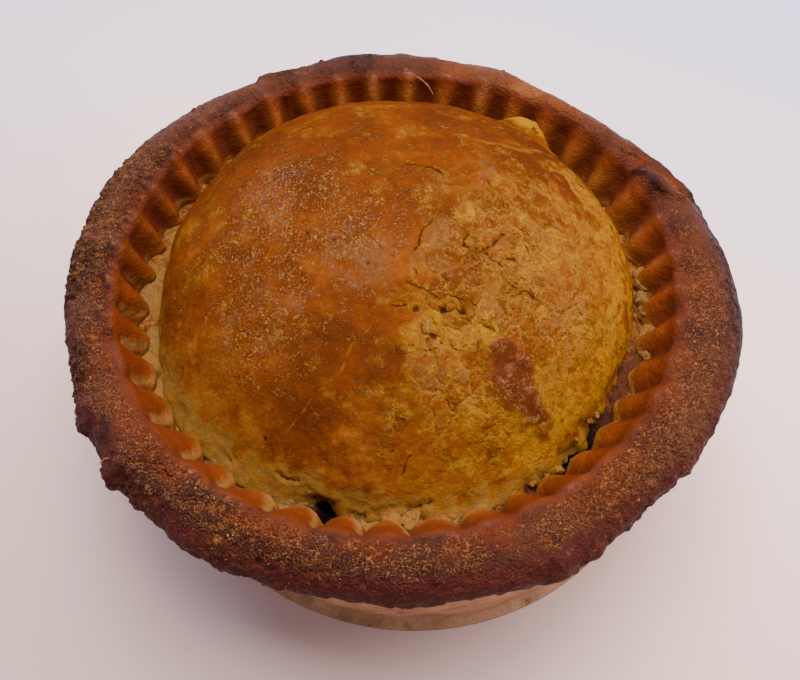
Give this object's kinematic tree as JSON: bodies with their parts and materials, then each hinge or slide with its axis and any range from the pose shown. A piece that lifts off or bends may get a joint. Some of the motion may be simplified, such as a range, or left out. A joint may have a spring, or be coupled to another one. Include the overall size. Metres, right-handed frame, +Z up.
{
  "type": "pork pie",
  "caption": "Round raised pork pie with a flat base, leaning case, rolled crimped rim and domed glazed lid, whole and uncut.",
  "frame": {"origin": "on the flat base, under the middle of the rim, at the height of the surface that the pie stands on", "axes": "+Z up through the lid's crown; -Y is the front, the side nearest in a three-quarter view from above; +X is to the right of that view"},
  "size_m": [0.0912, 0.0901, 0.0451],
  "materials": {
    "lid_crust": "satin",
    "rim_crust": "satin",
    "case_crust": "matte",
    "pale_crumb": "matte"
  },
  "bodies": {
    "root": {"pork_pie": "lid_crust"}
  },
  "joints": []
}
